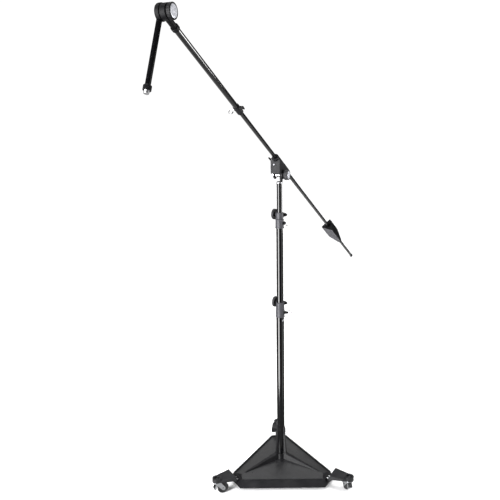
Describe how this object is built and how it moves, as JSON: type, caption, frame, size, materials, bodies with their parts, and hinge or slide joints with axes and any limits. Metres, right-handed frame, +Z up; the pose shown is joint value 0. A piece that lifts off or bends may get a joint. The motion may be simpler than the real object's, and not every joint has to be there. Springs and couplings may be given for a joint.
{
  "type": "boom microphone stand",
  "caption": "Studio boom microphone stand: cast three-cornered base on swivel casters, telescoping mast, counterweighted telescoping boom with a threaded drop arm.",
  "frame": {"origin": "on the floor below the mast's axis", "axes": "+Z up; -Y towards the base's front edge; the boom's tail points between +Y and +X, its head between -Y and -X"},
  "size_m": [0.9472, 2.2167, 1.9163],
  "materials": {
    "cast_iron_dark": "fine powder coat over a casting",
    "black_tube": "gloss black",
    "collar_grey": "satin grey cast",
    "clamp_grey": "dark grey cast",
    "bright_steel": "bright plated",
    "black_plastic": "moulded, slight sheen",
    "silver_disc": "spun disc",
    "guide_plastic": "plain",
    "tyre_rubber": "smooth rubber on a grey hub",
    "black_iron": "black paint, one face left grey"
  },
  "bodies": {
    "base": {"base_casting": "cast_iron_dark", "caster_arm_back": "cast_iron_dark", "caster_arm_left": "cast_iron_dark", "caster_arm_right": "cast_iron_dark", "arm_bolts": "bright_steel", "mast_foot_plug": "guide_plastic", "mast_foot_bolt": "bright_steel", "mast_lower_tube": "black_tube", "mast_rivet": "bright_steel", "lower_clamp_collar": "collar_grey", "lower_clamp_bolt": "bright_steel", "lower_hook_boss": "black_plastic", "lower_cable_hook": "bright_steel"},
    "lower_clamp_knob": {"lower_clamp_knob": "black_plastic"},
    "mast_middle": {"mast_middle_tube": "black_tube", "middle_guide_bush": "guide_plastic", "upper_clamp_collar": "collar_grey", "upper_clamp_bolt": "bright_steel", "upper_hook_boss": "black_plastic", "upper_cable_hook": "bright_steel"},
    "upper_clamp_knob": {"upper_clamp_knob": "black_plastic"},
    "mast_top": {"mast_top_tube": "black_tube", "top_guide_bush": "guide_plastic", "mast_top_cap": "silver_disc"},
    "swivel": {"swivel_yoke": "clamp_grey", "tilt_bolt": "bright_steel", "tilt_spacer": "bright_steel"},
    "boom_clamp": {"boom_clamp_body": "clamp_grey", "clamp_screw": "bright_steel"},
    "tilt_knob": {"tilt_knob": "black_plastic", "tilt_knob_cap": "silver_disc"},
    "boom_lock_screw": {"boom_lock_screw": "black_plastic"},
    "boom_rear": {"boom_rear_tube": "black_tube", "boom_end_cap": "black_plastic"},
    "counterweight": {"counterweight": "black_iron"},
    "counterweight_screw": {"counterweight_screw": "black_plastic"},
    "boom_front": {"boom_front_tube": "black_tube", "boom_joint_collar": "collar_grey", "boom_cable_hook": "bright_steel", "head_ring": "clamp_grey", "head_neck": "clamp_grey", "head_bolt": "bright_steel"},
    "joint_screw": {"boom_joint_screw": "black_plastic"},
    "head_arm": {"head_drum": "clamp_grey", "drop_arm": "black_tube", "head_screw": "bright_steel", "thread_stud": "bright_steel", "head_washer": "guide_plastic"},
    "head_knob": {"head_knob": "black_plastic", "head_knob_cap": "silver_disc"},
    "lock_ring": {"lock_ring": "clamp_grey"},
    "caster_back": {"caster_fork_back": "bright_steel"},
    "wheel_back": {"caster_wheel_back": "tyre_rubber"},
    "brake_back": {"caster_brake_back": "bright_steel"},
    "caster_left": {"caster_fork_left": "bright_steel"},
    "wheel_left": {"caster_wheel_left": "tyre_rubber"},
    "brake_left": {"caster_brake_left": "bright_steel"},
    "caster_right": {"caster_fork_right": "bright_steel"},
    "wheel_right": {"caster_wheel_right": "tyre_rubber"},
    "brake_right": {"caster_brake_right": "bright_steel"}
  },
  "joints": [
    {"name": "lower_clamp_knob_turn", "type": "hinge", "parent": "base", "child": "lower_clamp_knob", "pos_m": [-0.02104, 0.03755, 0.824], "axis": [-0.866, 0.5, 0], "range_deg": [-360, 90]},
    {"name": "mast_middle_slide", "type": "slide", "parent": "base", "child": "mast_middle", "axis": [0, 0, 1], "range_m": [-0.325, 0.21]},
    {"name": "upper_clamp_knob_turn", "type": "hinge", "parent": "mast_middle", "child": "upper_clamp_knob", "pos_m": [-0.02104, 0.03755, 1.222], "axis": [-0.866, 0.5, 0], "range_deg": [-360, 90]},
    {"name": "mast_top_slide", "type": "slide", "parent": "mast_middle", "child": "mast_top", "axis": [0, 0, 1], "range_m": [-0.12, 0.35]},
    {"name": "boom_pan", "type": "hinge", "parent": "mast_top", "child": "swivel", "pos_m": [0, 0, 1.36], "axis": [0, 0, 1], "continuous": true},
    {"name": "boom_tilt", "type": "hinge", "parent": "swivel", "child": "boom_clamp", "pos_m": [0, 0, 1.395], "axis": [0.9245, -0.3811, 0], "range_deg": [-30, 50]},
    {"name": "tilt_knob_turn", "type": "hinge", "parent": "swivel", "child": "tilt_knob", "pos_m": [0.02774, -0.01143, 1.395], "axis": [0.9245, -0.3811, 0], "range_deg": [-360, 90]},
    {"name": "boom_lock_screw_turn", "type": "hinge", "parent": "boom_clamp", "child": "boom_lock_screw", "pos_m": [-0.03613, -0.02205, 1.46366], "axis": [-0.9245, 0.3811, 0], "range_deg": [-360, 90]},
    {"name": "boom_slide", "type": "slide", "parent": "boom_clamp", "child": "boom_rear", "axis": [0.3425, 0.831, -0.4384], "range_m": [-0.45, 0.15]},
    {"name": "counterweight_slide", "type": "slide", "parent": "boom_rear", "child": "counterweight", "axis": [0.3425, 0.831, -0.4384], "range_m": [-0.35, 0.3]},
    {"name": "counterweight_screw_turn", "type": "hinge", "parent": "counterweight", "child": "counterweight_screw", "pos_m": [0.31052, 0.81188, 1.04552], "axis": [-0.5753, 0.5544, 0.6014], "range_deg": [-360, 90]},
    {"name": "boom_telescope", "type": "slide", "parent": "boom_rear", "child": "boom_front", "axis": [0.3425, 0.831, -0.4384], "range_m": [-0.12, 0.2]},
    {"name": "joint_screw_turn", "type": "hinge", "parent": "boom_front", "child": "joint_screw", "pos_m": [-0.14557, -0.40566, 1.65698], "axis": [0.9245, -0.3811, 0], "range_deg": [-360, 90]},
    {"name": "head_tilt", "type": "hinge", "parent": "boom_front", "child": "head_arm", "pos_m": [-0.35367, -0.81096, 1.89177], "axis": [0.9245, -0.3811, 0], "range_deg": [-120, 40]},
    {"name": "head_knob_turn", "type": "hinge", "parent": "boom_front", "child": "head_knob", "pos_m": [-0.32228, -0.8239, 1.89177], "axis": [0.9245, -0.3811, 0], "range_deg": [-360, 90]},
    {"name": "lock_ring_turn", "type": "hinge", "parent": "head_arm", "child": "lock_ring", "pos_m": [-0.38616, -0.88978, 1.68896], "axis": [-0.1477, -0.3583, -0.9219], "range_deg": [-360, 360]},
    {"name": "caster_swivel_back", "type": "hinge", "parent": "base", "child": "caster_back", "pos_m": [0, 0.338, 0.06], "axis": [0, 0, 1], "continuous": true},
    {"name": "wheel_spin_back", "type": "hinge", "parent": "caster_back", "child": "wheel_back", "pos_m": [0.0135, 0.31462, 0.025], "axis": [0.866, 0.5, 0], "continuous": true},
    {"name": "brake_lever_back", "type": "hinge", "parent": "caster_back", "child": "brake_back", "pos_m": [-0.002, 0.34146, 0.049], "axis": [0.866, 0.5, 0], "range_deg": [-12, 8]},
    {"name": "caster_swivel_left", "type": "hinge", "parent": "base", "child": "caster_left", "pos_m": [-0.29272, -0.169, 0.06], "axis": [0, 0, 1], "continuous": true},
    {"name": "wheel_spin_left", "type": "hinge", "parent": "caster_left", "child": "wheel_left", "pos_m": [-0.26768, -0.15889, 0.025], "axis": [-0.3746, 0.9272, 0], "continuous": true},
    {"name": "brake_lever_left", "type": "hinge", "parent": "caster_left", "child": "brake_left", "pos_m": [-0.29642, -0.1705, 0.049], "axis": [-0.3746, 0.9272, 0], "range_deg": [-12, 8]},
    {"name": "caster_swivel_right", "type": "hinge", "parent": "base", "child": "caster_right", "pos_m": [0.29272, -0.169, 0.06], "axis": [0, 0, 1], "continuous": true},
    {"name": "wheel_spin_right", "type": "hinge", "parent": "caster_right", "child": "wheel_right", "pos_m": [0.28573, -0.14292, 0.025], "axis": [-0.9659, -0.2588, 0], "continuous": true},
    {"name": "brake_lever_right", "type": "hinge", "parent": "caster_right", "child": "brake_right", "pos_m": [0.29375, -0.17286, 0.049], "axis": [-0.9659, -0.2588, 0], "range_deg": [-12, 8]}
  ]
}
